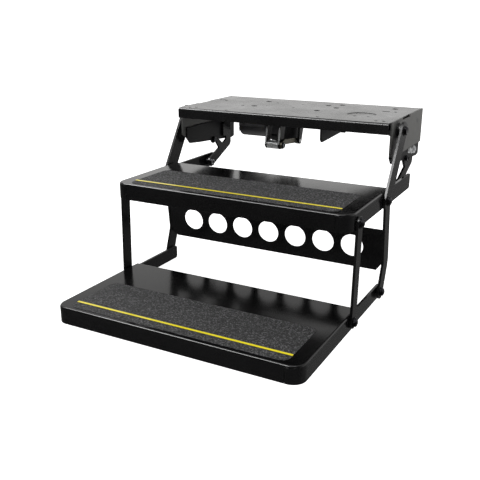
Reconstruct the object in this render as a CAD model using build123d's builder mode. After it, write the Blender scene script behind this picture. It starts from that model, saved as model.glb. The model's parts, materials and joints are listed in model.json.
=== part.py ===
from build123d import *
import os

# Electric double entry step for a vehicle doorway: a mounting frame that bolts under the floor,
# two treads that stay level, and flat-bar linkages that fold both treads back under the frame.
# Frame of reference: millimetres, +X to the right, +Y to the rear, +Z up, with the origin at the
# centre of the frame's top mounting face. The step is modelled in its deployed position.

# ---- treads ----
TREAD_WIDTH = 610.0          # 24 inch
HALF_TREAD = TREAD_WIDTH / 2
FRAME_DROP = 151.0           # mounting face down to the upper tread
STEP_RISE = 235.0            # upper tread down to the lower tread
UPPER_FRONT, UPPER_DEPTH = -416.0, 270.0
LOWER_FRONT, LOWER_DEPTH = -656.0, 314.0
UPPER_TOP = -FRAME_DROP
LOWER_TOP = -FRAME_DROP - STEP_RISE
SKIRT = 40.0                 # depth of a tread's edge
SHEET = 2.5
FRONT_CORNER_R = 30.0
REAR_CORNER_R = 6.0
EDGE_R = 4.0                 # rolled edge round the top
RAIL_START = 270.0           # half width of the front panel, up to the seams with the side rails
SEAM = 1.2
ARM_THICK = 6.0
MAT_MARGIN = 12.0            # grip mat back from the front edge
MAT_DEPTH, MAT_WIDTH, MAT_CORNER_R, MAT_THICK = 162.0, 540.0, 18.0, 1.2
STRIP_BACK, STRIP_WIDTH, STRIP_THICK = 41.0, 6.0, 0.6
CHANNEL_WIDTH, CHANNEL_DEPTH = 50.0, 22.0

# ---- linkage pivots in the YZ plane; both four-bar loops are exact parallelograms ----
A = (-74.0, -25.0)                       # torsion tube: swing arms to frame
B = (A[0] - 99.0, A[1] - 152.0)          # swing arm to upper tread
C = (B[0] - 7.0, B[1] - 228.0)           # swing arm to lower tread
LOOP_LOWER = 198.0                       # swing arm to front link, between the treads
LOOP_UPPER = 183.0                       # swing arm to rear link, above the upper tread
D = (B[0] - LOOP_LOWER, B[1])            # front link to upper tread
E = (C[0] - LOOP_LOWER, C[1])            # front link to lower tread
F = (A[0] + LOOP_UPPER, A[1])            # rear link to frame
G = (B[0] + LOOP_UPPER, B[1])            # rear link to upper tread
ELBOW = (C[0] + 25.0, C[1] + 69.0)       # rearward bow of the swing arm
ELBOW_R = 40.0
BEND = (F[0] + 5.0, F[1] - 107.0)        # where the rear link turns forward
STOP = (35.5, -113.7)                    # bolt that stops the rear link at full reach
NOSE = (STOP[0] + 14.3, STOP[1] - 8.0)   # rear link's nose, resting against the stop

LINK_THICK = 6.0
SWING_WIDTH = 46.0
SWING_FOOT_WIDTH = 36.0
FRONT_LINK_EYE_R = 14.5
REAR_LINK_WIDTH = 27.0
STUD_R = 8.0
REAR_PIN_R = 7.0
RUN_GAP = 0.05               # radial clearance of a running pivot
OPEN_GAP = 0.4               # radial clearance at the three pivots that close a loop
TUBE_R, TUBE_BORE_R = 13.0, 10.0
TUBE_PLUG = 14.0
TUBE_BOLT_R = 6.0
COLLAR = 4.0                 # how far collars and spacers stand out from their pin
HEAD = 5.0                   # height of the pivots' bolt heads
M8_FLATS, M12_FLATS = 13.0, 18.0

# ---- mounting frame ----
FRAME_HALF_WIDTH = 291.0     # to the inner face of the side plates
FRAME_FRONT, FRAME_REAR = -145.0, 164.0
TOP_SHEET = 3.0
LIP = 27.0
BEND_R = 6.0
SIDE_SHEET = 4.0
SIDE_FRONT, SIDE_REAR, SIDE_BOTTOM = -125.0, 161.0, -89.0
BRACKET_TOP, BRACKET_FRONT = -60.0, -110.0
EAR_R = 12.0
STOP_BOLT_R, STOP_SLEEVE_R = 5.0, 8.0
LINK_WAY = 268.0             # half width of the rear lip, which leaves the rear links their path
BOLT_X, BOLT_Y_FRONT, BOLT_Y_REAR, BOLT_HOLE_R = 252.0, -115.0, 51.0, 4.5
GUSSET_SHEET = 3.0
HANGER_X, HANGER_SHEET, HANGER_FRONT, HANGER_REAR = 105.0, 4.0, -102.0, 48.0
CLIP_AT, CLIP_X, CLIP_R = (-126.0, -24.0), (168.0, 180.0), 9.0

# ---- positions across the width, right-hand side, from the inside out ----
BRACKET_IN = FRAME_HALF_WIDTH - SIDE_SHEET
REAR_OUT = BRACKET_IN - 1.0              # rear link
REAR_IN = REAR_OUT - LINK_THICK
SIDE_OUT = FRAME_HALF_WIDTH + SIDE_SHEET
ARM_OUT = HALF_TREAD - SHEET             # tread arm
ARM_IN = ARM_OUT - ARM_THICK
LINK_IN = HALF_TREAD + 1.0               # swing arm and front link
LINK_OUT = LINK_IN + LINK_THICK
WASHER = 1.5

# ---- kick plate between the swing arms ----
PLATE_TOP = (B[0] - 7.0, B[1] - 70.0)
PLATE_FOOT = (B[0] + 4.0, B[1] - 178.0)
PLATE_SHEET = 2.5
PLATE_HOLE_R, PLATE_HOLE_PITCH, PLATE_HOLES, PLATE_HOLE_LIFT = 29.0, 76.5, 7, 1.5
TAB_HEIGHT, TAB_DEPTH, TAB_LIFT = 84.0, 22.0, 8.0

# ---- drive: the crank is parallel and equal to the lever on the torsion tube ----
THROW = (-14.0, -61.6)
DRIVE_BASE = (98.0, -3.0)                # torsion tube to crankshaft
O = (A[0] + DRIVE_BASE[0], A[1] + DRIVE_BASE[1])         # crankshaft
P = (O[0] + THROW[0], O[1] + THROW[1])   # crank pin
Q = (A[0] + THROW[0], A[1] + THROW[1])   # lever pin
CHEEKS = (-50.0, -13.0)                  # left faces of the lever's two cheeks
CHEEK_THICK = 4.0
CHEEK_R, LEVER_EYE_R, LEVER_PIN_R = 17.0, 11.0, 6.0
SLEEVE_X = (CHEEKS[0] + CHEEK_THICK + 0.3, CHEEKS[1] - 0.3)
BAR_X = (-8.0, -3.0)                     # drive link
CRANK_X = (-2.0, 4.0)
CRANK_HUB_R, CRANK_EYE_R, CRANK_PIN_R = 14.0, 8.5, 5.0
LINK_EYE_R = 9.5
SHAFT_R = 8.0

# ---- gearmotor: a round gearbox that hangs from the top plate, with its motor on the left ----
MODULE = 1.5
PINION_TEETH, GEAR_TEETH = 12, 24
MOTOR = (O[0] + 4.0, O[1] - 26.7)        # one gear centre distance from the crankshaft
GEAR_X = (-57.0, -46.0)
ADDENDUM, DEDENDUM = 0.7 * MODULE, 1.15 * MODULE
DRUM_AT, DRUM_R, DRUM_BOTTOM = (-50.0, 38.0), 38.0, -91.0
NECK_X, NECK_R = -95.0, 33.0             # round neck that the motor bolts to
LID_R, LID_THICK = 36.0, 4.0
WALL = 2.5
BOSS_R, BOSS = SHAFT_R + 4.0, 6.0
FOOT_TOP, FOOT_BOTTOM = -TOP_SHEET, -TOP_SHEET - 3.0
FOOT_X, FOOT_Y, FOOT_EDGE = (-101.0, -11.0), (-2.0, 78.0), 6.0
FOOT_BOLTS = [(x, y) for x in (FOOT_X[0] + FOOT_EDGE, FOOT_X[1] - FOOT_EDGE)
              for y in (FOOT_Y[0] + FOOT_EDGE, FOOT_Y[1] - FOOT_EDGE)]
FOOT_BOLT_R, FOOT_BOLT_FLATS = 3.0, 10.0
CAN_R, CAN_END, CAN_WALL = 35.0, -180.0, 2.5
BEARING_R, BEARING_LENGTH = 9.0, 6.0
ROTOR_SHAFT_R = 4.0
MAGNET_THICK, AIR_GAP = 6.5, 1.5

LOW_MIDDLE = (Align.CENTER, Align.CENTER, Align.MAX)     # hangs down from its location

os.makedirs("parts", exist_ok=True)


def write(piece, name):
    """Label one finished sub-part and write it to its own file."""
    piece.part.label = name
    export_step(piece.part, f"parts/{name}.step")


def write_pair(piece, name):
    """Write a right-hand sub-part and its mirror image for the left."""
    write(piece, f"{name}_right")
    with BuildPart() as other:
        mirror(piece.part, about=Plane.YZ)
    write(other, f"{name}_left")


def rod(centre, radius, x0, x1, mode=Mode.ADD):
    """Round bar along X between x0 and x1."""
    with BuildSketch(Plane.YZ.offset(x0)) as section:
        with Locations(centre):
            Circle(radius)
    extrude(section.sketch, amount=x1 - x0, mode=mode)


def hole(centre, radius, x0, x1):
    """Round hole along X, cut cleanly through whatever lies between x0 and x1."""
    rod(centre, radius, x0 - 1, x1 + 1, mode=Mode.SUBTRACT)


def hexagon(centre, across_flats, x0, x1):
    """Hexagonal bolt head or nut along X."""
    with BuildSketch(Plane.YZ.offset(x0)) as section:
        with Locations(centre):
            RegularPolygon(across_flats / 2, 6, major_radius=False)
    extrude(section.sketch, amount=x1 - x0)


def plate(points, x0, x1, mode=Mode.ADD):
    """Flat plate in the YZ plane with a straight-sided outline."""
    with BuildSketch(Plane.YZ.offset(x0)) as section:
        with BuildLine():
            Polyline(*points, close=True)
        make_face()
    extrude(section.sketch, amount=x1 - x0, mode=mode)


def eye_bar(first, second, first_r, second_r, x0, x1):
    """Bar with two round ends joined by tangent sides."""
    with BuildSketch(Plane.YZ.offset(x0)) as section:
        with Locations(first):
            Circle(first_r)
        with Locations(second):
            Circle(second_r)
        make_hull()
    extrude(section.sketch, amount=x1 - x0)


# ==== treads =====================================================================================
def tread_shell(front, depth, top):
    """Pressed tread: level top, skirts all round, open underneath."""
    middle = front + depth / 2
    with BuildPart() as shell:
        with Locations((0, middle, top)):
            Box(TREAD_WIDTH, depth, SKIRT, align=LOW_MIDDLE)
        fillet(shell.edges().filter_by(Axis.Z).group_by(Axis.Y)[0], radius=FRONT_CORNER_R)
        fillet(shell.edges().filter_by(Axis.Z).group_by(Axis.Y)[-1], radius=REAR_CORNER_R)
        fillet(shell.faces().sort_by(Axis.Z)[-1].edges(), radius=EDGE_R)
    with BuildPart() as hollow:
        with Locations((0, middle, top - SHEET)):
            Box(TREAD_WIDTH - 2 * SHEET, depth - 2 * SHEET, SKIRT, align=LOW_MIDDLE)
        fillet(hollow.edges().filter_by(Axis.Z).group_by(Axis.Y)[0], radius=FRONT_CORNER_R - SHEET)
        fillet(hollow.edges().filter_by(Axis.Z).group_by(Axis.Y)[-1], radius=REAR_CORNER_R - SHEET)
    with BuildPart() as pressed:
        add(shell.part)
        add(hollow.part, mode=Mode.SUBTRACT)
    return pressed


def make_tread(prefix, front, depth, top, front_pivot, rear_pivot, arm_end):
    """Write one tread: pan, side rails, arms, grip mat, reflective strip and stiffener."""
    shell = tread_shell(front, depth, top)
    middle = front + depth / 2
    rear = front + depth
    under_top = top - EDGE_R - 0.2
    reach = HALF_TREAD - RAIL_START + 5

    with BuildPart() as pan:
        add(shell.part)
        for side in (-1, 1):
            with Locations((side * (RAIL_START + reach / 2), middle, under_top)):
                Box(reach, depth + 10, SKIRT, mode=Mode.SUBTRACT, align=LOW_MIDDLE)
    write(pan, f"{prefix}_tread_pan")

    with BuildPart() as rail:
        add(shell.part)
        with Locations((RAIL_START + SEAM, middle, under_top - SEAM / 2)):
            Box(reach, depth + 10, SKIRT, mode=Mode.INTERSECT,
                align=(Align.MIN, Align.CENTER, Align.MAX))
        with Locations((ARM_OUT, rear + 1, under_top)):
            Box(2 * reach, 2 * FRONT_CORNER_R, 2 * SKIRT, mode=Mode.SUBTRACT,
                align=(Align.MAX, Align.CENTER, Align.CENTER))
        for pivot in (front_pivot, rear_pivot):
            if pivot[0] < rear:
                hole(pivot, STUD_R, ARM_OUT, HALF_TREAD)
    write_pair(rail, f"{prefix}_tread_rail")

    arm_top = under_top - SEAM / 2
    arm_bottom = min(top - SKIRT, rear_pivot[1] - STUD_R - 10)
    front_bottom = top - SKIRT + 1
    arm_front = max(front_pivot[0] - 45, front + FRONT_CORNER_R + 0.5)
    with BuildPart() as arm:
        plate(
            [
                (arm_front, arm_top),
                (arm_end, arm_top),
                (arm_end, arm_bottom),
                (rear - 20, arm_bottom),
                (rear - 40, front_bottom),
                (arm_front, front_bottom),
            ],
            ARM_IN,
            ARM_OUT,
        )
        fillet(arm.edges().filter_by(Axis.X).group_by(Axis.Y)[-1], radius=6)
        hole(front_pivot, STUD_R, ARM_IN, ARM_OUT)
        hole(rear_pivot, STUD_R, ARM_IN, ARM_OUT)
        if prefix == "upper":
            hole(G, REAR_PIN_R, ARM_IN, ARM_OUT)
    write_pair(arm, f"{prefix}_tread_arm")

    with BuildPart() as mat:
        with BuildSketch(Plane.XY.offset(top)):
            with Locations((0, front + MAT_MARGIN + MAT_DEPTH / 2)):
                RectangleRounded(MAT_WIDTH, MAT_DEPTH, MAT_CORNER_R)
        extrude(amount=MAT_THICK)
    write(mat, f"{prefix}_grip_mat")

    with BuildPart() as strip:
        with Locations((0, front + STRIP_BACK, top + MAT_THICK + STRIP_THICK)):
            Box(MAT_WIDTH, STRIP_WIDTH, STRIP_THICK, align=LOW_MIDDLE)
    write(strip, f"{prefix}_reflective_strip")

    with BuildPart() as stiffener:
        with Locations((0, middle + 10, top - SHEET)):
            Box(2 * RAIL_START, CHANNEL_WIDTH, CHANNEL_DEPTH, align=LOW_MIDDLE)
        with Locations((0, middle + 10, top - 2 * SHEET)):
            Box(2 * RAIL_START + 2, CHANNEL_WIDTH - 2 * SHEET, CHANNEL_DEPTH,
                mode=Mode.SUBTRACT, align=LOW_MIDDLE)
    write(stiffener, f"{prefix}_stiffener_channel")


make_tread("upper", UPPER_FRONT, UPPER_DEPTH, UPPER_TOP, D, B, G[0] + 42)
make_tread("lower", LOWER_FRONT, LOWER_DEPTH, LOWER_TOP, E, C, C[0] + 17)


def make_studs(name, pivots):
    """Studs with a washer and a hexagonal head, one at each pivot on both sides."""
    with BuildPart() as studs:
        for pivot in pivots:
            rod(pivot, STUD_R, ARM_IN, LINK_OUT + WASHER)
            rod(pivot, STUD_R + COLLAR, LINK_OUT + 0.3, LINK_OUT + WASHER)
            hexagon(pivot, M12_FLATS, LINK_OUT + WASHER, LINK_OUT + WASHER + HEAD)
        mirror(about=Plane.YZ)
    write(studs, name)


make_studs("upper_pivot_studs", (B, D))
make_studs("lower_pivot_studs", (C, E))

with BuildPart() as rear_studs:
    rod(G, REAR_PIN_R, REAR_IN - 4.5, ARM_OUT)
    rod(G, REAR_PIN_R + COLLAR, REAR_OUT + 0.4, ARM_IN)
    rod(G, REAR_PIN_R + COLLAR, REAR_IN - 4.5, REAR_IN - 0.4)
    mirror(about=Plane.YZ)
write(rear_studs, "rear_link_studs")

# ==== linkage ====================================================================================
with BuildPart() as swing_arm:
    with BuildSketch(Plane.YZ.offset(LINK_IN)):
        with BuildLine():
            Line(A, B)
        trace(line_width=SWING_WIDTH)
        with BuildLine():
            FilletPolyline(B, ELBOW, C, radius=ELBOW_R)
        trace(line_width=SWING_FOOT_WIDTH)
        with Locations(A, B):
            Circle(SWING_WIDTH / 2)
        with Locations(C):
            Circle(SWING_FOOT_WIDTH / 2)
        with Locations(B, C):
            Circle(STUD_R + RUN_GAP, mode=Mode.SUBTRACT)
        with Locations(A):
            Circle(TUBE_BOLT_R, mode=Mode.SUBTRACT)
    extrude(amount=LINK_THICK)
write_pair(swing_arm, "swing_arm")

with BuildPart() as front_link:
    eye_bar(D, E, FRONT_LINK_EYE_R, FRONT_LINK_EYE_R, LINK_IN, LINK_OUT)
    hole(D, STUD_R + RUN_GAP, LINK_IN, LINK_OUT)
    hole(E, STUD_R + OPEN_GAP, LINK_IN, LINK_OUT)
write_pair(front_link, "front_link")

HEAD_WIDTH, HEAD_HEIGHT = REAR_LINK_WIDTH + 14, 40.0     # wide part of the rear link, above its bend
with BuildPart() as rear_link:
    eye_bar(F, BEND, REAR_LINK_WIDTH / 2, REAR_LINK_WIDTH / 2, REAR_IN, REAR_OUT)
    eye_bar(BEND, G, REAR_LINK_WIDTH / 2, REAR_LINK_WIDTH / 2, REAR_IN, REAR_OUT)
    eye_bar(NOSE, (BEND[0] - 35, BEND[1] - 16), 8, 12, REAR_IN, REAR_OUT)
    with BuildSketch(Plane.YZ.offset(REAR_IN)):
        with Locations((F[0] - 7, F[1] - 67)):
            RectangleRounded(HEAD_WIDTH, HEAD_HEIGHT, 6)
    extrude(amount=LINK_THICK)
    hole(F, REAR_PIN_R + RUN_GAP, REAR_IN, REAR_OUT)
    hole(G, REAR_PIN_R + OPEN_GAP, REAR_IN, REAR_OUT)
write_pair(rear_link, "rear_link")

plate_rise = Vector(0, PLATE_TOP[0] - PLATE_FOOT[0], PLATE_TOP[1] - PLATE_FOOT[1])
plate_plane = Plane(
    origin=(0, (PLATE_TOP[0] + PLATE_FOOT[0]) / 2, (PLATE_TOP[1] + PLATE_FOOT[1]) / 2),
    x_dir=(1, 0, 0),
    z_dir=Vector(1, 0, 0).cross(plate_rise),
)
with BuildPart() as kick_plate:
    with BuildSketch(plate_plane.offset(-PLATE_SHEET / 2)) as kick_face:
        Rectangle(2 * LINK_IN, plate_rise.length)
        chamfer(kick_face.vertices().group_by(Axis.Y)[0], length=13, length2=19)
        with Locations((0, PLATE_HOLE_LIFT)):
            with GridLocations(PLATE_HOLE_PITCH, 0, PLATE_HOLES, 1):
                Circle(PLATE_HOLE_R, mode=Mode.SUBTRACT)
    extrude(amount=PLATE_SHEET)
    for side in (-1, 1):
        tab_x = side * (LINK_IN - PLATE_SHEET / 2)
        with Locations(plate_plane.location * Location((tab_x, TAB_LIFT, -TAB_DEPTH / 2))):
            Box(PLATE_SHEET, TAB_HEIGHT, TAB_DEPTH)
write(kick_plate, "kick_plate")

# ==== torsion tube and drive =====================================================================
with BuildPart() as torsion_tube:
    rod(A, TUBE_R, -LINK_IN, LINK_IN)
    hole(A, TUBE_BORE_R, 1 - LINK_IN + TUBE_PLUG, LINK_IN - TUBE_PLUG - 1)
    for side in (-1, 1):
        rod(A, TUBE_R + COLLAR, side * (SIDE_OUT + COLLAR), side * LINK_IN)
        rod(A, TUBE_BOLT_R, side * LINK_IN, side * (LINK_IN - TUBE_PLUG), mode=Mode.SUBTRACT)
write(torsion_tube, "torsion_tube")

with BuildPart() as tube_bolts:
    rod(A, TUBE_BOLT_R, LINK_IN - TUBE_PLUG + 1, LINK_OUT + 1)
    rod(A, TUBE_R, LINK_OUT, LINK_OUT + WASHER)
    hexagon(A, M12_FLATS, LINK_OUT + WASHER, LINK_OUT + WASHER + HEAD)
    mirror(about=Plane.YZ)
write(tube_bolts, "torsion_tube_bolts")

BUSHING_R = TUBE_R + 3
with BuildPart() as tube_bushings:
    rod(A, BUSHING_R, BRACKET_IN, SIDE_OUT)
    rod(A, BUSHING_R + 3, SIDE_OUT, SIDE_OUT + 3)
    hole(A, TUBE_R + RUN_GAP, BRACKET_IN, SIDE_OUT + 3)
    mirror(about=Plane.YZ)
write(tube_bushings, "torsion_tube_bushings")

with BuildPart() as drive_lever:
    for cheek_x in CHEEKS:
        eye_bar(A, Q, CHEEK_R, LEVER_EYE_R, cheek_x, cheek_x + CHEEK_THICK)
    hole(A, TUBE_R, CHEEKS[0], CHEEKS[1] + CHEEK_THICK)
    hole(Q, LEVER_PIN_R, CHEEKS[0], CHEEKS[1] + CHEEK_THICK)
write(drive_lever, "drive_lever")

with BuildPart() as lever_pin:
    rod(Q, LEVER_PIN_R, CHEEKS[0] - 3, BAR_X[1] + 3)
    rod(Q, LEVER_PIN_R + 3, CHEEKS[1] + CHEEK_THICK, BAR_X[0] - 0.3)
    rod(Q, LEVER_PIN_R + 2, BAR_X[1] + 0.3, BAR_X[1] + 3)
    rod(Q, LEVER_PIN_R + 2, CHEEKS[0] - 2.5, CHEEKS[0])
write(lever_pin, "lever_pin")

with BuildPart() as lever_sleeve:
    rod(Q, LEVER_EYE_R, *SLEEVE_X)
    hole(Q, LEVER_PIN_R, *SLEEVE_X)
write(lever_sleeve, "lever_sleeve")

with BuildPart() as drive_link:
    eye_bar(Q, (Q[0] + 14, Q[1] + 7), LINK_EYE_R, 6.5, *BAR_X)
    eye_bar((Q[0] + 12, Q[1] + 7), (P[0], P[1] + 1.5), 6.5, 6.5, *BAR_X)
    rod(P, CRANK_EYE_R, *BAR_X)
    hole(Q, LEVER_PIN_R + OPEN_GAP, *BAR_X)
    hole(P, CRANK_PIN_R + RUN_GAP, *BAR_X)
write(drive_link, "drive_link")

with BuildPart() as crank_arm:
    eye_bar(O, P, CRANK_HUB_R, CRANK_EYE_R, *CRANK_X)
    hole(O, SHAFT_R, *CRANK_X)
    hole(P, CRANK_PIN_R, *CRANK_X)
write(crank_arm, "crank_arm")

with BuildPart() as crank_pin:
    rod(P, CRANK_PIN_R, BAR_X[0] - 3, CRANK_X[1])
    rod(P, CRANK_PIN_R + 3, BAR_X[1] + 0.3, CRANK_X[0])
    rod(P, CRANK_PIN_R + 2.5, BAR_X[0] - 3, BAR_X[0] - 0.3)
write(crank_pin, "crank_pin")

SHAFT_START = NECK_X + WALL + 0.5
with BuildPart() as crank_shaft:
    rod(O, SHAFT_R, SHAFT_START, CRANK_X[1])
write(crank_shaft, "crank_shaft")


# ==== gearmotor ==================================================================================
def toothed_wheel(centre, teeth, bore, turn):
    """Spur wheel with straight-flanked teeth and running backlash, turned by a start angle."""
    pitch_r = MODULE * teeth / 2
    pitch_angle = 360 / teeth
    root = (pitch_r - DEDENDUM, 0.27 * pitch_angle)
    tip = (pitch_r + ADDENDUM, 0.12 * pitch_angle)
    outline = []
    for tooth in range(teeth):
        middle = turn + tooth * pitch_angle
        corners = ((root[0], -root[1]), (tip[0], -tip[1]), (tip[0], tip[1]), (root[0], root[1]))
        for radius, swing in corners:
            corner = Vector(radius, 0).rotate(Axis.Z, middle + swing)
            outline.append((centre[0] + corner.X, centre[1] + corner.Y))
    plate(outline, *GEAR_X)
    hole(centre, bore, *GEAR_X)


mesh_angle = Vector(1, 0, 0).get_signed_angle(Vector(*MOTOR) - Vector(*O), Vector(0, 0, 1))
with BuildPart() as output_gear:
    toothed_wheel(O, GEAR_TEETH, SHAFT_R, mesh_angle)
write(output_gear, "output_gear")

with BuildPart() as pinion:
    toothed_wheel(MOTOR, PINION_TEETH, ROTOR_SHAFT_R, mesh_angle + 180 + 180 / PINION_TEETH)
write(pinion, "drive_pinion")


DRUM_END = DRUM_AT[0] + DRUM_R
with BuildPart() as gearbox_housing:
    with Locations((*DRUM_AT, FOOT_TOP)):
        Cylinder(DRUM_R, FOOT_TOP - DRUM_BOTTOM, align=LOW_MIDDLE)
    chamfer(gearbox_housing.faces().sort_by(Axis.Z)[0].edges(), length=2)
    rod(MOTOR, NECK_R, NECK_X, DRUM_AT[0])
    rod(O, BOSS_R, DRUM_AT[0], DRUM_END + 2)
    with Locations(((FOOT_X[0] + FOOT_X[1]) / 2, (FOOT_Y[0] + FOOT_Y[1]) / 2, FOOT_TOP)):
        Box(FOOT_X[1] - FOOT_X[0], FOOT_Y[1] - FOOT_Y[0], FOOT_TOP - FOOT_BOTTOM, align=LOW_MIDDLE)
    with Locations((*DRUM_AT, FOOT_BOTTOM)):
        Cylinder(DRUM_R - WALL, FOOT_BOTTOM - DRUM_BOTTOM, mode=Mode.SUBTRACT, align=LOW_MIDDLE)
    rod(MOTOR, NECK_R - WALL, NECK_X + WALL, DRUM_AT[0], mode=Mode.SUBTRACT)
    rod(O, BOSS_R, NECK_X + WALL, NECK_X + WALL + BOSS)
    rod(O, BOSS_R, DRUM_END - BOSS, DRUM_END + 2)
    rod(O, SHAFT_R + RUN_GAP, NECK_X + WALL, DRUM_END + 3, mode=Mode.SUBTRACT)
    hole(MOTOR, ROTOR_SHAFT_R + 0.5, NECK_X, NECK_X + WALL)
    with Locations([(x, y, FOOT_TOP) for x, y in FOOT_BOLTS]):
        Cylinder(FOOT_BOLT_R, FOOT_TOP - FOOT_BOTTOM, mode=Mode.SUBTRACT, align=LOW_MIDDLE)
write(gearbox_housing, "gearbox_housing")

with BuildPart() as gearbox_lid:
    with Locations((*DRUM_AT, DRUM_BOTTOM)):
        Cylinder(LID_R, LID_THICK, align=LOW_MIDDLE)
    fillet(gearbox_lid.faces().sort_by(Axis.Z)[0].edges(), radius=1.5)
write(gearbox_lid, "gearbox_lid")

with BuildPart() as gearbox_bolts:
    for bolt in FOOT_BOLTS:
        with Locations((*bolt, -0.5)):
            Cylinder(FOOT_BOLT_R, -0.5 - FOOT_BOTTOM, align=LOW_MIDDLE)
        with BuildSketch(Plane.XY.offset(FOOT_BOTTOM)):
            with Locations(bolt):
                RegularPolygon(FOOT_BOLT_FLATS / 2, 6, major_radius=False)
        extrude(amount=-4)
write(gearbox_bolts, "gearbox_bolts")

with BuildPart() as motor_can:
    rod(MOTOR, CAN_R, CAN_END, NECK_X)
    fillet(motor_can.faces().sort_by(Axis.X)[0].edges(), radius=4)
    rod(MOTOR, BEARING_R + 7, CAN_END - 6, CAN_END)
    rod(MOTOR, CAN_R - CAN_WALL - 1, CAN_END + 3, NECK_X, mode=Mode.SUBTRACT)
    rod(MOTOR, CAN_R - CAN_WALL, CAN_END + 8, NECK_X, mode=Mode.SUBTRACT)
    rod(MOTOR, BEARING_R, CAN_END + 3, CAN_END + 3 + BEARING_LENGTH)
    rod(MOTOR, ROTOR_SHAFT_R + RUN_GAP, CAN_END, CAN_END + 3 + BEARING_LENGTH, mode=Mode.SUBTRACT)
write(motor_can, "motor_can")

with BuildPart() as motor_magnets:
    rod(MOTOR, CAN_R - CAN_WALL, CAN_END + 14, NECK_X - 8)
    rod(MOTOR, CAN_R - CAN_WALL - MAGNET_THICK, CAN_END + 14, NECK_X - 8, mode=Mode.SUBTRACT)
    with Locations((CAN_END + 30, MOTOR[0], MOTOR[1])):
        Box(100, 16, 3 * CAN_R, mode=Mode.SUBTRACT)
write(motor_magnets, "motor_magnets")

with BuildPart() as motor_shaft:
    rod(MOTOR, ROTOR_SHAFT_R, CAN_END + 1, GEAR_X[1] + 1)
write(motor_shaft, "motor_shaft")

ARMATURE_R = CAN_R - CAN_WALL - MAGNET_THICK - AIR_GAP
ARMATURE_X = (CAN_END + 18, NECK_X - 12)
with BuildPart() as armature:
    rod(MOTOR, ARMATURE_R, *ARMATURE_X)
    with BuildSketch(Plane.YZ.offset(ARMATURE_X[0])):
        with Locations(MOTOR):
            with PolarLocations(ARMATURE_R, 12):
                Circle(2.5)
    extrude(amount=ARMATURE_X[1] - ARMATURE_X[0], mode=Mode.SUBTRACT)
    hole(MOTOR, ROTOR_SHAFT_R, *ARMATURE_X)
write(armature, "motor_armature")

INLET_AT = (CAN_END + 30.0, MOTOR[0] + CAN_R - 1.0, MOTOR[1])
with BuildPart() as power_inlet:
    with Locations(INLET_AT):
        Box(20, 14, 14, align=(Align.CENTER, Align.MIN, Align.CENTER))
    fillet(power_inlet.edges().filter_by(Axis.Y), radius=2)
    with Locations((INLET_AT[0], INLET_AT[1] + 5, INLET_AT[2])):
        Box(15, 10, 9, align=(Align.CENTER, Align.MIN, Align.CENTER), mode=Mode.SUBTRACT)
    rod(MOTOR, CAN_R, CAN_END, NECK_X, mode=Mode.SUBTRACT)
write(power_inlet, "power_inlet")

# ==== mounting frame =============================================================================
MOUNT_HOLES = [(x, y) for x in (-BOLT_X, BOLT_X) for y in (BOLT_Y_FRONT, BOLT_Y_REAR)]
SPARE_HOLES = [(-267, -123), (270, -113), (-159, -20), (-151, -128), (105, -122)]
ACCESS_HOLES = [(-126, -15), (-132, 90), (61, -19), (53, 87), (88, 53), (83, 115), (234, 108)]
SLOTS = [(-268, 62), (226, 51)]
RECESS_AT, RECESS_R, RECESS_DEPTH = (188, -32), 37.0, 1.0
RECESS_HOLES = [(178, -56), (213, -51)]
FRAME_MIDDLE, FRAME_DEPTH = (FRAME_FRONT + FRAME_REAR) / 2, FRAME_REAR - FRAME_FRONT
with BuildPart() as top_plate:
    with Locations((0, FRAME_MIDDLE, 0)):
        Box(2 * FRAME_HALF_WIDTH, FRAME_DEPTH, LIP, align=LOW_MIDDLE)
    fillet(top_plate.faces().sort_by(Axis.Z)[-1].edges().filter_by(Axis.X), radius=BEND_R)
    with Locations((0, FRAME_MIDDLE, -TOP_SHEET)):
        Box(2 * FRAME_HALF_WIDTH + 2, FRAME_DEPTH - 2 * TOP_SHEET, LIP,
            mode=Mode.SUBTRACT, align=LOW_MIDDLE)
    for side in (-1, 1):
        with Locations((side * (LINK_WAY + 20), FRAME_REAR, -BEND_R)):
            Box(40, 20, LIP, mode=Mode.SUBTRACT, align=LOW_MIDDLE)
    with BuildSketch(Plane.XY):
        with Locations(*MOUNT_HOLES):
            Circle(BOLT_HOLE_R)
        with Locations(*FOOT_BOLTS):
            Circle(FOOT_BOLT_R)
        with Locations(*SPARE_HOLES, *RECESS_HOLES):
            Circle(4.5)
        with Locations(*ACCESS_HOLES):
            Circle(8)
        with Locations(*SLOTS):
            SlotOverall(22, 9)
    extrude(amount=-TOP_SHEET, mode=Mode.SUBTRACT)
    with BuildSketch(Plane.XY):
        with Locations(RECESS_AT):
            Circle(RECESS_R)
    extrude(amount=-RECESS_DEPTH, mode=Mode.SUBTRACT)
write(top_plate, "frame_top_plate")

M12_R, M8_R = 6.0, 4.0
STUD_SKIN = 1.2              # metal left behind each welded stud
BRACKET_STUDS = [(93.0, -100.0, M12_R, M12_FLATS), (60.0, -97.0, M8_R, M8_FLATS),
                 (-55.0, -97.5, M8_R, M8_FLATS)]
with BuildPart() as side_plate:
    plate(
        [
            (SIDE_FRONT, 0),
            (SIDE_REAR, 0),
            (SIDE_REAR, SIDE_BOTTOM),
            (SIDE_FRONT + 22, SIDE_BOTTOM),
            (SIDE_FRONT, SIDE_BOTTOM + 12),
        ],
        FRAME_HALF_WIDTH,
        SIDE_OUT,
    )
    with Locations((SIDE_OUT, -2, 0)):
        Box(4 * SIDE_SHEET, 68, 12, mode=Mode.SUBTRACT)
    hole(A, BUSHING_R, FRAME_HALF_WIDTH, SIDE_OUT)
    hole(F, REAR_PIN_R, FRAME_HALF_WIDTH, SIDE_OUT)
write_pair(side_plate, "frame_side_plate")

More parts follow.
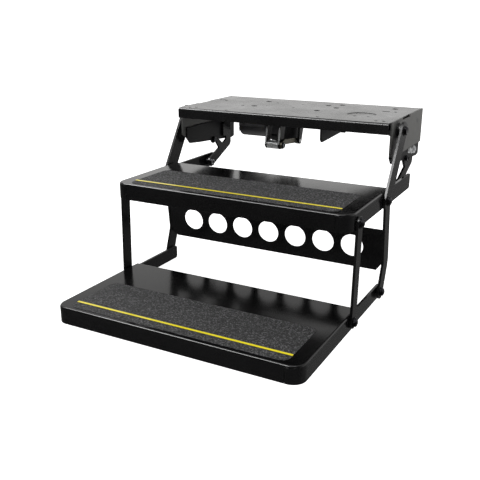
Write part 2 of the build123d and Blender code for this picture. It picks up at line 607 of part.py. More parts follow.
with BuildPart() as pivot_bracket:
    plate(
        [
            (BRACKET_FRONT, BRACKET_TOP),
            (SIDE_REAR, BRACKET_TOP),
            (SIDE_REAR, -122),
            (SIDE_REAR - 20, -125),
            (STOP[0], -116),
            (STOP[0] - 82, -110),
            (BRACKET_FRONT + 16, -105),
            (BRACKET_FRONT, SIDE_BOTTOM),
        ],
        BRACKET_IN,
        FRAME_HALF_WIDTH,
    )
    rod(STOP, EAR_R, BRACKET_IN, FRAME_HALF_WIDTH)
    hole(STOP, STOP_BOLT_R, BRACKET_IN, FRAME_HALF_WIDTH)
    for stud_y, stud_z, stud_r, flats in BRACKET_STUDS:
        rod((stud_y, stud_z), stud_r, BRACKET_IN + STUD_SKIN, FRAME_HALF_WIDTH, mode=Mode.SUBTRACT)
write_pair(pivot_bracket, "pivot_bracket")

with BuildPart() as bracket_studs:
    for stud_y, stud_z, stud_r, flats in BRACKET_STUDS:
        nut_height = 0.45 * flats
        rod((stud_y, stud_z), stud_r, BRACKET_IN + STUD_SKIN, FRAME_HALF_WIDTH + nut_height + 2)
        hexagon((stud_y, stud_z), flats, FRAME_HALF_WIDTH, FRAME_HALF_WIDTH + nut_height)
    mirror(about=Plane.YZ)
write(bracket_studs, "bracket_studs_and_nuts")

with BuildPart() as stop_bolts:
    rod(STOP, STOP_SLEEVE_R, REAR_IN, BRACKET_IN)
    rod(STOP, STOP_BOLT_R, BRACKET_IN, FRAME_HALF_WIDTH)
    hexagon(STOP, M8_FLATS, FRAME_HALF_WIDTH, FRAME_HALF_WIDTH + 6)
    mirror(about=Plane.YZ)
write(stop_bolts, "stop_bolts")

with BuildPart() as rear_pins:
    rod(F, REAR_PIN_R, REAR_IN - 3.5, SIDE_OUT)
    rod(F, REAR_PIN_R + COLLAR, REAR_OUT + 0.3, FRAME_HALF_WIDTH)
    rod(F, REAR_PIN_R + COLLAR, REAR_IN - 3.5, REAR_IN - 0.3)
    mirror(about=Plane.YZ)
write(rear_pins, "rear_link_pins")

GUSSET_IN = 95.0
with BuildPart() as gusset:
    with BuildSketch(Plane.XZ.offset(TOP_SHEET - FRAME_REAR)):
        with BuildLine():
            Polyline(
                (LINK_WAY - 1, -TOP_SHEET),
                (LINK_WAY - 1, -106),
                (GUSSET_IN, -35),
                (GUSSET_IN, -TOP_SHEET),
                close=True,
            )
        make_face()
    extrude(amount=GUSSET_SHEET)
write_pair(gusset, "rear_gusset")

with BuildPart() as hanger:
    plate(
        [
            (HANGER_FRONT, -TOP_SHEET),
            (HANGER_REAR, -TOP_SHEET),
            (HANGER_REAR, -62),
            (HANGER_FRONT + 8, -68),
            (HANGER_FRONT, -60),
        ],
        HANGER_X,
        HANGER_X + HANGER_SHEET,
    )
    with Locations((HANGER_X, HANGER_FRONT, -TOP_SHEET)):
        Box(24, HANGER_REAR - HANGER_FRONT, 3, align=(Align.MIN, Align.MIN, Align.MAX))
    hole(A, TUBE_R + 0.6, HANGER_X, HANGER_X + HANGER_SHEET)
write(hanger, "tube_hanger_bracket")

with BuildPart() as clip:
    rod(CLIP_AT, CLIP_R, *CLIP_X)
    with Locations((CLIP_X[0], CLIP_AT[0] - CLIP_R, -TOP_SHEET)):
        Box(CLIP_X[1] - CLIP_X[0], 2.5, -TOP_SHEET - CLIP_AT[1],
            align=(Align.MIN, Align.MIN, Align.MAX))
    hole(CLIP_AT, CLIP_R - 2.5, *CLIP_X)
write(clip, "harness_clip")
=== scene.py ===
import json
import math
import random

import bmesh
import bpy
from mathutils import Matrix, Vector


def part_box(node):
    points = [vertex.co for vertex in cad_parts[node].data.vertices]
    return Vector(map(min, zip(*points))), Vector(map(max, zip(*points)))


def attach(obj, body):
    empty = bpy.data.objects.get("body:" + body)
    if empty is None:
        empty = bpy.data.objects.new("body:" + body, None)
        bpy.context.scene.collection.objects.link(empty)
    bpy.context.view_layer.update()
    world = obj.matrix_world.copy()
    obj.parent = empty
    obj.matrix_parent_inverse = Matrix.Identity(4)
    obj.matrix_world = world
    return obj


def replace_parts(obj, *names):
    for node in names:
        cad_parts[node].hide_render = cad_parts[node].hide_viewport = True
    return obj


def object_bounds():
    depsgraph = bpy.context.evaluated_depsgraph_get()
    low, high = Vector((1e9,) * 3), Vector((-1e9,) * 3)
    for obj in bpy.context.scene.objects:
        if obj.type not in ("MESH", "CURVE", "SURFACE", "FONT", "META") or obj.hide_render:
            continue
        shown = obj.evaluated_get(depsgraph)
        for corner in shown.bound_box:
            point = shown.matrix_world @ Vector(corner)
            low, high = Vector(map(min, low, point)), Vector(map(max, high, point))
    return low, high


# Looks for the electric double entry step: materials, small fittings, lights and camera, built round
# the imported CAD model. Metres, in the CAD's own frame.

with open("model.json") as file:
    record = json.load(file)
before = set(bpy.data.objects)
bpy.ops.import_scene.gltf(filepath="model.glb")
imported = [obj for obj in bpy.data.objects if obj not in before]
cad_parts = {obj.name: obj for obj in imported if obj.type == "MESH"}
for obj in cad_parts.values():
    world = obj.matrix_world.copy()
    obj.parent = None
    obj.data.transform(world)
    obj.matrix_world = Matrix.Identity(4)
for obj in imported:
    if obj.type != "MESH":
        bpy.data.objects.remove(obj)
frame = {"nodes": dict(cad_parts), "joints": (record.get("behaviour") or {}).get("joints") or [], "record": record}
cad_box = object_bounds()


# ---- small helpers -----------------------------------------------------------------------------
def low(node):
    return Vector(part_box(node)[0])


def high(node):
    return Vector(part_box(node)[1])


def joint_at(name):
    for joint in frame["joints"]:
        if joint["name"] == name:
            return Vector(joint["pos_m"])
    raise KeyError(name)


def shade_smooth(mesh, angle=35):
    for face in mesh.polygons:
        face.use_smooth = True
    mesh.set_sharp_from_angle(angle=math.radians(angle))


def piece(name, bm, material, body, smooth=35):
    """Turn a bmesh into a finished piece that rides on a CAD body."""
    if not bm.faces:
        raise ValueError(f"{name} has no faces")
    bmesh.ops.recalc_face_normals(bm, faces=bm.faces)
    mesh = bpy.data.meshes.new(name)
    bm.to_mesh(mesh)
    bm.free()
    shade_smooth(mesh, smooth)
    mesh.materials.append(material)
    obj = bpy.data.objects.new(name, mesh)
    bpy.context.collection.objects.link(obj)
    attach(obj, body)
    return obj


def rings(bm, loops, cap_start=True, cap_end=True, close=False):
    """Skin a list of equally long point loops."""
    made = [[bm.verts.new(p) for p in loop] for loop in loops]
    count = len(made[0])
    pairs = list(zip(made, made[1:]))
    if close:
        pairs.append((made[-1], made[0]))
    for a, b in pairs:
        for i in range(count):
            j = (i + 1) % count
            bm.faces.new((a[i], a[j], b[j], b[i]))
    if cap_start and not close:
        bm.faces.new(made[0])
    if cap_end and not close:
        bm.faces.new(list(reversed(made[-1])))
    return made


def axis_frame(axis):
    """Rotation that takes local Z to the given direction."""
    return Vector(axis).normalized().to_track_quat("Z", "Y").to_matrix()


def turned(bm, at, axis, profile, sides=40, six=None):
    """Lathe (distance along axis, radius) pairs; six is a hexagon's across-flats that limits the radius."""
    turn = axis_frame(axis)
    loops = []
    for along, radius in profile:
        loop = []
        for i in range(sides):
            angle = 2 * math.pi * i / sides
            r = radius
            if six:
                inside = (angle + math.pi / 6) % (math.pi / 3) - math.pi / 6
                r = min(radius, six / 2 / math.cos(inside))
            spot = Vector((r * math.cos(angle), r * math.sin(angle), along))
            loop.append(Vector(at) + turn @ spot)
        loops.append(loop)
    rings(bm, loops)


def tube_along(bm, points, radius, sides=8, ripple=0.0, closed=False):
    """Round bead that follows points; ripple makes the scallops of a weld."""
    loops = []
    count = len(points)
    for i, point in enumerate(points):
        ahead = Vector(points[(i + 1) % count if closed else min(i + 1, count - 1)])
        behind = Vector(points[(i - 1) % count if closed else max(i - 1, 0)])
        turn = axis_frame(ahead - behind)
        r = radius * (1 + ripple * (0.5 if i % 2 else -0.5))
        if not closed and i in (0, count - 1):
            r *= 0.45
        loops.append([
            Vector(point) + turn @ Vector((r * math.cos(a), r * math.sin(a), 0))
            for a in (2 * math.pi * k / sides for k in range(sides))
        ])
    rings(bm, loops, close=closed)


def arc(at, radius, x, start=0, sweep=360, steps=48):
    """Points on a circle about an axis along X."""
    whole = abs(sweep) >= 360
    last = steps if whole else steps - 1
    return [
        Vector((x, at[0] + radius * math.cos(math.radians(start + sweep * i / last)),
                at[1] + radius * math.sin(math.radians(start + sweep * i / last))))
        for i in range(steps)
    ]


def straight(a, b, step=0.0022):
    """Evenly spaced points from a to b."""
    a, b = Vector(a), Vector(b)
    count = max(4, int((b - a).length / step))
    return [a.lerp(b, i / (count - 1)) for i in range(count)]


# ---- materials ---------------------------------------------------------------------------------
class Nodes:
    """A material's node tree with short calls for the nodes used here."""

    def __init__(self, name):
        self.material = bpy.data.materials.new(name)
        self.material.use_nodes = True
        self.tree = self.material.node_tree
        self.shader = self.tree.nodes["Principled BSDF"]
        self.coords = self.tree.nodes.new("ShaderNodeTexCoord").outputs["Object"]

    def add(self, kind, inputs=None, **settings):
        node = self.tree.nodes.new(kind)
        for key, value in settings.items():
            setattr(node, key, value)
        for key, value in (inputs or {}).items():
            if isinstance(value, bpy.types.NodeSocket):
                self.tree.links.new(value, node.inputs[key])
            else:
                node.inputs[key].default_value = value
        return node

    def scaled(self, factors):
        return self.add("ShaderNodeMapping", {"Vector": self.coords, "Scale": factors}).outputs[0]

    def noise(self, scale, detail=3, rough=0.5, vector=None):
        return self.add("ShaderNodeTexNoise", {
            "Vector": vector or self.coords, "Scale": scale, "Detail": detail, "Roughness": rough,
        }).outputs["Fac"]

    def cells(self, scale, output="Color", vector=None, **settings):
        return self.add("ShaderNodeTexVoronoi", {"Vector": vector or self.coords, "Scale": scale},
                        **settings).outputs[output]

    def ramp(self, value, stops):
        node = self.add("ShaderNodeValToRGB", {"Fac": value})
        while len(node.color_ramp.elements) < len(stops):
            node.color_ramp.elements.new(0.5)
        for element, (where, colour) in zip(node.color_ramp.elements, stops):
            element.position = where
            element.color = (*colour, 1) if len(colour) == 3 else colour
        return node.outputs["Color"]

    def grey(self, value, stops):
        return self.ramp(value, [(where, (v, v, v)) for where, v in stops])

    def math(self, operation, a, b=0.0):
        return self.add("ShaderNodeMath", {0: a, 1: b}, operation=operation).outputs[0]

    def mix(self, factor, a, b, blend="MIX"):
        node = self.add("ShaderNodeMix", data_type="RGBA", blend_type=blend)
        for index, value in ((0, factor), (6, a), (7, b)):
            if isinstance(value, bpy.types.NodeSocket):
                self.tree.links.new(value, node.inputs[index])
            elif index == 0:
                node.inputs[0].default_value = value
            else:
                node.inputs[index].default_value = (*value, 1)
        return node.outputs[2]

    def rounded_edges(self, radius):
        """Normal with softened edges, and how close to an edge a point is (0 to 1)."""
        bevel = self.add("ShaderNodeBevel", {"Radius": radius}, samples=6).outputs[0]
        plain = self.add("ShaderNodeNewGeometry").outputs["Normal"]
        dot = self.add("ShaderNodeVectorMath", {0: bevel, 1: plain},
                       operation="DOT_PRODUCT").outputs["Value"]
        near = self.add("ShaderNodeMapRange", {
            "Value": dot, "From Min": 0.995, "From Max": 0.75, "To Min": 0.0, "To Max": 1.0,
        }, clamp=True).outputs[0]
        return bevel, near

    def bump(self, heights, normal=None):
        """Chain of (height, strength, distance) bumps on a normal."""
        for height, strength, distance in heights:
            inputs = {"Height": height, "Strength": strength, "Distance": distance}
            if normal is not None:
                inputs["Normal"] = normal
            normal = self.add("ShaderNodeBump", inputs).outputs[0]
        self.tree.links.new(normal, self.shader.inputs["Normal"])

    def link(self, value, socket):
        self.tree.links.new(value, self.shader.inputs[socket])

    def fix(self, **values):
        for key, value in values.items():
            self.shader.inputs[key.replace("_", " ")].default_value = value


def powder_coat(name, dark, light, rough_low, rough_high, peel, specular=0.5):
    """Black powder coat: orange peel, faint cloudiness, specks of dust and a painted highlight along the edges."""
    n = Nodes(name)
    normal, edge = n.rounded_edges(0.0011)
    cloud = n.noise(9, 4)
    fine = n.noise(1400, 2)
    base = n.mix(n.grey(cloud, [(0.35, 0), (0.7, 1)]), dark, light)
    dust = n.grey(n.noise(2600, 1), [(0.66, 0), (0.74, 1)])
    base = n.mix(n.math("MULTIPLY", dust, 0.22), base, (0.09, 0.088, 0.084))
    # Painted highlight: the colour is lightened along the edges, broken up by noise.
    painted_edge_highlight = n.math("MULTIPLY", edge, n.grey(n.noise(160, 3), [(0.45, 0), (0.7, 0.5)]))
    base = n.mix(painted_edge_highlight, base, (0.05, 0.05, 0.052))
    n.link(base, "Base Color")
    rough = n.add("ShaderNodeMapRange", {
        "Value": n.math("ADD", n.math("MULTIPLY", cloud, 0.7), n.math("MULTIPLY", n.noise(70, 3), 0.3)),
        "From Min": 0.3, "From Max": 0.7, "To Min": rough_low, "To Max": rough_high,
    }).outputs[0]
    n.link(rough, "Roughness")
    n.fix(Specular_IOR_Level=specular)
    n.bump([(n.noise(420, 2), peel, 0.0004), (fine, peel * 0.5, 0.0001)], normal)
    return n.material


def grit():
    """Coarse mineral grit on a dark film: mostly black grains with bright ones between."""
    n = Nodes("grip_grit")
    value = n.add("ShaderNodeSeparateColor", {"Color": n.cells(430, "Color")}).outputs[0]
    other = n.add("ShaderNodeSeparateColor", {"Color": n.cells(1100, "Color")}).outputs[0]
    mixed = n.math("ADD", n.math("MULTIPLY", value, 0.72), n.math("MULTIPLY", other, 0.28))
    tone = n.ramp(mixed, [(0.25, (0.007, 0.007, 0.0075)), (0.52, (0.020, 0.020, 0.021)),
                          (0.74, (0.062, 0.062, 0.064)), (0.90, (0.21, 0.21, 0.215))])
    worn = n.grey(n.noise(14, 4), [(0.35, 0.85), (0.7, 1.1)])
    n.link(n.mix(1.0, tone, worn, "MULTIPLY"), "Base Color")
    n.link(n.grey(other, [(0.0, 0.5), (1.0, 0.95)]), "Roughness")
    n.fix(Specular_IOR_Level=0.3)
    n.bump([(n.cells(430, "Distance"), 0.6, 0.0008), (n.noise(2300, 3), 0.5, 0.0004)])
    return n.material


def reflector():
    """Yellow reflective tape with its cell pattern and a faint painted glow."""
    n = Nodes("reflector_tape")
    cell = n.cells(520, "Distance", feature="DISTANCE_TO_EDGE")
    wall = n.grey(cell, [(0.02, 1), (0.09, 0)])
    tone = n.mix(n.noise(60, 3), (0.90, 0.74, 0.004), (0.98, 0.86, 0.015))
    n.link(n.mix(n.math("MULTIPLY", wall, 0.35), tone, (0.70, 0.58, 0.02)), "Base Color")
    n.link(n.grey(wall, [(0, 0.32), (1, 0.5)]), "Roughness")
    # The yellow emission is painted light: the tape glows a little though it is no lamp.
    n.fix(Coat_Weight=0.6, Coat_Roughness=0.12,
          Emission_Color=(1.0, 0.82, 0.005, 1), Emission_Strength=0.3)
    n.bump([(cell, 0.25, 0.0003)])
    return n.material


def metal(name, light, dark, rough, streak=(1, 1, 1), blotch=18, edge_highlight_tone=None, pits=0.15,
          metallic=1.0):
    """Plated or machined metal: cloudy tone, streaks along the work, small pits and, where a tone is given, a
    painted highlight along the edges.
    """
    n = Nodes(name)
    normal, edge = n.rounded_edges(0.0006)
    lines = n.noise(240, 4, 0.6, n.scaled(streak))
    tone = n.mix(n.grey(n.noise(blotch, 5), [(0.35, 0), (0.68, 1)]), dark, light)
    tone = n.mix(n.math("MULTIPLY", n.grey(lines, [(0.4, 0), (0.75, 1)]), 0.35), tone, dark)
    # Painted highlight: the edges are tinted towards a lighter tone.
    if edge_highlight_tone:
        tone = n.mix(n.math("MULTIPLY", edge, 0.7), tone, edge_highlight_tone)
    n.link(tone, "Base Color")
    n.link(n.add("ShaderNodeMapRange", {"Value": lines, "From Min": 0.3, "From Max": 0.75,
                                        "To Min": rough * 0.75,
                                        "To Max": rough * 1.5}).outputs[0], "Roughness")
    n.fix(Metallic=metallic)
    n.bump([(lines, 0.12, 0.0003), (n.noise(1700, 2), pits, 0.00015)], normal)
    return n.material


def cast_metal():
    """Black painted die casting with a pebbled skin and a painted highlight along its edges."""
    n = Nodes("painted_casting")
    normal, edge = n.rounded_edges(0.001)
    tone = n.mix(n.noise(30, 5), (0.008, 0.008, 0.0085), (0.016, 0.016, 0.017))
    # Painted highlight: the edges are lightened towards grey.
    tone = n.mix(n.math("MULTIPLY", edge, 0.35), tone, (0.10, 0.10, 0.105))
    n.link(tone, "Base Color")
    n.link(n.grey(n.noise(300, 3), [(0.3, 0.34), (0.7, 0.52)]), "Roughness")
    n.bump([(n.noise(650, 4), 0.5, 0.0004)], normal)
    return n.material


def moulded(name, dark, light, rough, coat=0.0):
    """Moulded plastic or pressed ferrite: faint cloud, and slightly paler edges as a painted highlight."""
    n = Nodes(name)
    normal, edge = n.rounded_edges(0.0008)
    tone = n.mix(n.noise(26, 4), dark, light)
    # Painted highlight: the edges are mixed towards a paler copy of the tone.
    edge_highlight_tone = tuple(min(1, c * 1.8) for c in light)
    n.link(n.mix(n.math("MULTIPLY", edge, 0.3), tone, edge_highlight_tone), "Base Color")
    n.link(n.grey(n.noise(120, 3), [(0.3, rough * 0.8), (0.7, rough * 1.3)]), "Roughness")
    n.fix(Coat_Weight=coat, Coat_Roughness=0.1)
    n.bump([(n.noise(1100, 2), 0.25, 0.0002)], normal)
    return n.material


def windings():
    """Enamelled copper turns as fine bands."""
    n = Nodes("armature_windings")
    turns = n.add("ShaderNodeTexWave", {"Vector": n.coords, "Scale": 260, "Distortion": 1.5, "Detail": 2},
                  wave_type="BANDS", bands_direction="X").outputs["Fac"]
    n.link(n.ramp(turns, [(0.2, (0.16, 0.055, 0.02)), (0.8, (0.62, 0.27, 0.12))]), "Base Color")
    n.link(n.grey(turns, [(0, 0.45), (1, 0.25)]), "Roughness")
    n.fix(Metallic=0.85)
    n.bump([(turns, 0.6, 0.0005)])
    return n.material


BLACK, BLACK_LIGHT = (0.0030, 0.0030, 0.0033), (0.0050, 0.0050, 0.0054)
MATERIALS = {
    "powder_coat": powder_coat("gloss_powder_coat", BLACK, BLACK_LIGHT, 0.10, 0.18, 0.05, 0.36),
    "frame_coat": powder_coat("satin_powder_coat", (0.0045, 0.0045, 0.0048), (0.0075, 0.0075, 0.008),
                              0.20, 0.30, 0.09, 0.42),
    "grip": grit(),
    "reflector": reflector(),
    "zinc": metal("bright_zinc", (0.80, 0.81, 0.80), (0.50, 0.51, 0.52), 0.26, (1, 4, 4),
                  edge_highlight_tone=(0.9, 0.9, 0.91), metallic=0.45),
    "black_zinc": metal("black_zinc", (0.055, 0.055, 0.06), (0.02, 0.02, 0.023), 0.34, (3, 1, 1),
                        edge_highlight_tone=(0.22, 0.22, 0.23)),
    "bushing": moulded("bearing_plastic", (0.008, 0.008, 0.009), (0.014, 0.014, 0.015), 0.4),
    "casting": cast_metal(),
    "lid": powder_coat("lid_enamel", (0.010, 0.0095, 0.007), (0.018, 0.017, 0.012), 0.12, 0.2, 0.05, 0.8),
    "motor_steel": metal("plated_steel_can", (0.40, 0.40, 0.41), (0.20, 0.20, 0.21), 0.34, (0.15, 5, 5)),
    "gear_steel": metal("machined_steel", (0.46, 0.46, 0.47), (0.24, 0.24, 0.25), 0.3, (4, 1, 1),
                        edge_highlight_tone=(0.6, 0.6, 0.6)),
    "copper": windings(),
    "ferrite": moulded("ferrite", (0.035, 0.035, 0.038), (0.07, 0.07, 0.075), 0.7),
    "moulding": moulded("black_moulding", (0.008, 0.008, 0.009), (0.014, 0.014, 0.015), 0.35),
}
# Painted light: the side plates have the frame's black coat, but their base colour is made far lighter to stand in
# for the light they catch.
SATIN_SIDE_PAINTED_LIGHT = powder_coat("side_plate_painted_light_coat", (0.050, 0.050, 0.047), (0.066, 0.066, 0.062),
                         0.45, 0.6, 0.12, 0.9)
DULL_BRACKET = powder_coat("bracket_coat", (0.003, 0.003, 0.0034), (0.006, 0.006, 0.0066),
                           0.26, 0.4, 0.14, 0.14)
LINK_COAT = powder_coat("link_coat", (0.0035, 0.0035, 0.0038), (0.006, 0.006, 0.0065),
                        0.18, 0.3, 0.1, 0.34)
PLATED_LINK = metal("olive_zinc", (0.30, 0.28, 0.22), (0.10, 0.095, 0.075), 0.3, (1, 2, 2),
                    edge_highlight_tone=(0.6, 0.58, 0.5))
SPECIAL = [
    (("frame_side_plate",), SATIN_SIDE_PAINTED_LIGHT),
    (("pivot_bracket", "rear_gusset", "tube_hanger"), DULL_BRACKET),
    (("swing_arm", "front_link", "rear_link_left", "rear_link_right", "kick_plate"), LINK_COAT),
    (("drive_link",), PLATED_LINK),
    (("drive_lever",), LINK_COAT),
    (("lever_pin",), MATERIALS["black_zinc"]),
]

slots = {entry["node"]: entry["material_slot"] for entry in frame["record"]["subparts"]}
for node, obj in frame["nodes"].items():
    material = MATERIALS[slots[node]]
    for starts, special in SPECIAL:
        if node.startswith(starts):
            material = special
    obj.data.materials.clear()
    obj.data.materials.append(material)
    for entry in obj.material_slots:
        entry.material = material


# ---- fasteners ---------------------------------------------------------------------------------
def corners(points):
    """Lowest and highest corner of the box round some points."""
    return (Vector(min(p[i] for p in points) for i in range(3)),
            Vector(max(p[i] for p in points) for i in range(3)))


def connected(left, follow=lambda edge: True):
    """Point lists of the groups of verts joined by the edges that follow allows."""
    groups = []
    while left:
        stack, points = [left.pop()], []
        while stack:
            vert = stack.pop()
            points.append(vert.co.copy())
            for edge in vert.link_edges:
                other = edge.other_vert(vert)
                if other in left and follow(edge):
                    left.remove(other)
                    stack.append(other)
        groups.append(points)
    return groups


def islands(node):
    """Boxes of a CAD node's separate solids, as (lowest corner, highest corner)."""
    bm = bmesh.new()
    bm.from_mesh(frame["nodes"][node].data)
    bmesh.ops.remove_doubles(bm, verts=bm.verts, dist=1e-6)
    boxes = sorted((corners(points) for points in connected(set(bm.verts))),
                   key=lambda box: tuple(box[0]))
    bm.free()
    return boxes


def round_bar(bm, at, axis, length, radius, ease=0.0005):
    """Shank, washer or sleeve with eased ends."""
    turned(bm, at, axis, [(0, radius - ease), (ease, radius),
                          (length - ease, radius), (length, radius - ease)])


def hex_head(bm, at, axis, flats, height):
    """Chamfered hexagon with a shallow dish in its end."""
    inner, corner = flats / 2, flats / 2 / math.cos(math.pi / 6)
    turned(bm, at, axis, [
        (0, inner * 0.97), (0.0003, corner), (height * 0.7, corner), (height, inner * 0.92),
        (height - 0.0006, inner * 0.74),
    ], 48, flats)


def thread(bm, at, axis, length, radius, pitch=0.00125):
    """Threaded tip, as ridges one pitch apart."""
    profile = [(0, radius - 0.0006)]
    for turn in range(int(length / pitch)):
        profile += [((turn + 0.3) * pitch, radius), ((turn + 0.95) * pitch, radius - 0.0007)]
    turned(bm, at, axis, profile + [(length, radius - 0.0011)], 32)


arm_face = high("swing_arm_right").x
M12_FLATS, M8_FLATS, M6_FLATS = 0.018, 0.013, 0.010
SPACER, WASHER, TUBE_WASHER = 0.0003, 0.0012, 0.0015
HEAD_START = SPACER + WASHER
A, B = joint_at("fold"), joint_at("upper_tread_pivot")
C, D = joint_at("lower_tread_pivot"), joint_at("front_link_left_pivot")
E, F = C + D - B, joint_at("rear_link_left_pivot")
G = B + F - A
CRANK, CRANK_EYE, ROTOR = joint_at("crank_turn"), joint_at("drive_link_pivot"), joint_at("rotor_turn")
LEVER_EYE = CRANK_EYE + A - CRANK
SIDES = (-1, 1)


def on_side(point, side, x):
    return Vector((side * x, point.y, point.z))


# Tread pivots: shank, washer, head and thread tip at each of a tread's four pivots.
for node, pivots, body in (("upper_pivot_studs", (B, D), "upper_tread"),
                           ("lower_pivot_studs", (C, E), "lower_tread")):
    bm = bmesh.new()
    shank_start = low(node.replace("pivot_studs", "tread_arm_right")).x
    head_end = high(node).x
    for side in SIDES:
        out = (side, 0, 0)
        for pivot in pivots:
            washer_at, head_at = arm_face + SPACER, arm_face + HEAD_START
            round_bar(bm, on_side(pivot, side, shank_start), out, washer_at - shank_start, 0.008)
            round_bar(bm, on_side(pivot, side, washer_at), out, WASHER, 0.012, 0.0003)
            hex_head(bm, on_side(pivot, side, head_at), out, M12_FLATS, head_end - head_at)
            thread(bm, on_side(pivot, side, head_end - 0.0008), out, 0.0008 + 0.0015, 0.0058, 0.0010)
    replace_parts(piece(node.replace("pivot_studs", "pivot_fasteners"), bm, MATERIALS["black_zinc"], body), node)

# Bolts that clamp the swing arms to the ends of the torsion tube.
bm = bmesh.new()
for side in SIDES:
    out = (side, 0, 0)
    round_bar(bm, on_side(A, side, arm_face - 0.019), out, 0.019, 0.006)
    round_bar(bm, on_side(A, side, arm_face), out, TUBE_WASHER, 0.013, 0.0004)
    head_at = arm_face + TUBE_WASHER
    hex_head(bm, on_side(A, side, head_at), out, M12_FLATS, high("torsion_tube_bolts").x - head_at)
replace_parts(piece("tube_end_fasteners", bm, MATERIALS["black_zinc"], "swing_arms"),
            "torsion_tube_bolts")

# Studs and nuts that hold the pivot brackets to the side plates.
bm = bmesh.new()
plate_face = low("frame_side_plate_right").x
for lo, hi in islands("bracket_studs_and_nuts"):
    middle = (lo + hi) / 2
    side = 1 if middle.x > 0 else -1
    out = (side, 0, 0)
    flats = min(hi.y - lo.y, hi.z - lo.z)
    inside, outside = min(abs(lo.x), abs(hi.x)), max(abs(lo.x), abs(hi.x))
    round_bar(bm, on_side(middle, side, inside), out, plate_face - inside, flats / 3)
    round_bar(bm, on_side(middle, side, plate_face), out, 0.0012, flats * 0.64, 0.0003)
    hex_head(bm, on_side(middle, side, plate_face + 0.0012), out, flats, outside - plate_face - 0.0035)
    thread(bm, on_side(middle, side, outside - 0.003), out, 0.003, flats / 3)
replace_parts(piece("bracket_nuts", bm, MATERIALS["zinc"], "frame"), "bracket_studs_and_nuts")

# Stop bolts with their sleeves.
bm = bmesh.new()
bracket_in = low("pivot_bracket_right").x
for lo, hi in islands("stop_bolts"):
    middle = (lo + hi) / 2
    side = 1 if middle.x > 0 else -1
    out = (side, 0, 0)
    inside, outside = min(abs(lo.x), abs(hi.x)), max(abs(lo.x), abs(hi.x))
    round_bar(bm, on_side(middle, side, inside), out, bracket_in - inside, 0.008)
    round_bar(bm, on_side(middle, side, bracket_in), out, plate_face - bracket_in, 0.005, 0.0001)
    hex_head(bm, on_side(middle, side, plate_face), out, M8_FLATS, outside - plate_face)
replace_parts(piece("stop_fasteners", bm, MATERIALS["black_zinc"], "frame"), "stop_bolts")

# Bolts through the gearbox's feet.
bm = bmesh.new()
for lo, hi in islands("gearbox_bolts"):
    middle = (lo + hi) / 2
    foot = hi.z - 0.0055
    round_bar(bm, Vector((middle.x, middle.y, foot)), (0, 0, 1), hi.z - foot, 0.003, 0.0003)
    round_bar(bm, Vector((middle.x, middle.y, foot)), (0, 0, -1), 0.001, 0.0065, 0.0002)
    hex_head(bm, Vector((middle.x, middle.y, foot - 0.001)), (0, 0, -1), M6_FLATS, 0.0035)
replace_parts(piece("gearbox_foot_bolts", bm, MATERIALS["zinc"], "frame"), "gearbox_bolts")


# ---- clips, welds and castings -----------------------------------------------------------------
def circlip(bm, at, side, x, radius):
    """Snap ring in its groove with two small ears at the gap."""
    tube_along(bm, arc((at.y, at.z), radius, side * x, -70, 320, 40), 0.0008)
    for turn in (-64, 244):
        angle = math.radians(turn)
        ear = Vector((side * x, at.y + radius * math.cos(angle), at.z + radius * math.sin(angle)))
        turned(bm, ear - Vector((0.0006, 0, 0)), (1, 0, 0),
               [(0, 0.0011), (0.0006, 0.0014), (0.0012, 0.0011)], 16)


pin_inside = low("rear_link_right").x
for name, at, body, gap in (("rear_pin_clips", F, "frame", 0.0035),
                            ("rear_stud_clips", G, "upper_tread", 0.0045)):
    bm = bmesh.new()
    for side in SIDES:
        circlip(bm, at, side, pin_inside - gap - 0.0006, 0.0062)
    piece(name, bm, MATERIALS["zinc"], body)

bm = bmesh.new()
circlip(bm, LEVER_EYE, 1, low("lever_pin").x - 0.0005, 0.0058)
circlip(bm, LEVER_EYE, 1, high("lever_pin").x + 0.0005, 0.0058)
piece("lever_pin_clips", bm, MATERIALS["zinc"], "swing_arms")
bm = bmesh.new()
circlip(bm, CRANK_EYE, 1, low("crank_pin").x - 0.0005, 0.0048)
piece("crank_pin_clip", bm, MATERIALS["zinc"], "crank")

# Beads round the torsion tube on both faces of each lever cheek.
tube_r = (high("torsion_tube_bushings").z - low("torsion_tube_bushings").z) / 2 - 0.006
bm = bmesh.new()
for x in sorted({corner.x for cheek in islands("drive_lever") for corner in cheek}):
    tube_along(bm, arc((A.y, A.z), tube_r + 0.0008, x, 0, 360, 60), 0.0017, ripple=0.35, closed=True)
piece("lever_welds", bm, LINK_COAT, "swing_arms")

# Beads between the kick plate's ends and the swing arms.
bm = bmesh.new()
for side in SIDES:
    arm = Vector((side * (low("swing_arm_right").x - 0.0008), 0, 0))
    top = Vector((arm.x, B.y + 0.0115, B.z - 0.105))
    foot = Vector((arm.x, B.y + 0.0005, B.z - 0.155))
    tube_along(bm, straight(top, foot), 0.0016, ripple=0.35)
piece("kick_plate_welds", bm, LINK_COAT, "swing_arms")

# Stitch welds along the side plates' lower edges and the rear gussets.
bm = bmesh.new()
side_lo = low("frame_side_plate_right")
for side in SIDES:
    x = side * (side_lo.x + 0.0012)
    for start, end in ((-0.108, -0.074), (-0.03, 0.004), (0.012, 0.046), (0.118, 0.155)):
        tube_along(bm, straight((x, start, side_lo.z), (x, end, side_lo.z)), 0.0018, ripple=0.3)
    gusset = low("rear_gusset_right" if side > 0 else "rear_gusset_left")
    inner, lip = side * (pin_inside - 0.02), low("frame_top_plate").z
    tube_along(bm, straight((inner * 0.97, gusset.y, lip), (inner * 0.80, gusset.y, lip)),
               0.0016, ripple=0.3)
piece("frame_welds", bm, DULL_BRACKET, "frame")

bm = bmesh.new()
tube_along(bm, arc((CRANK.y, CRANK.z), 0.0088, high("crank_arm").x, 0, 360, 48), 0.0013,
           ripple=0.35, closed=True)
piece("crank_weld", bm, LINK_COAT, "crank")

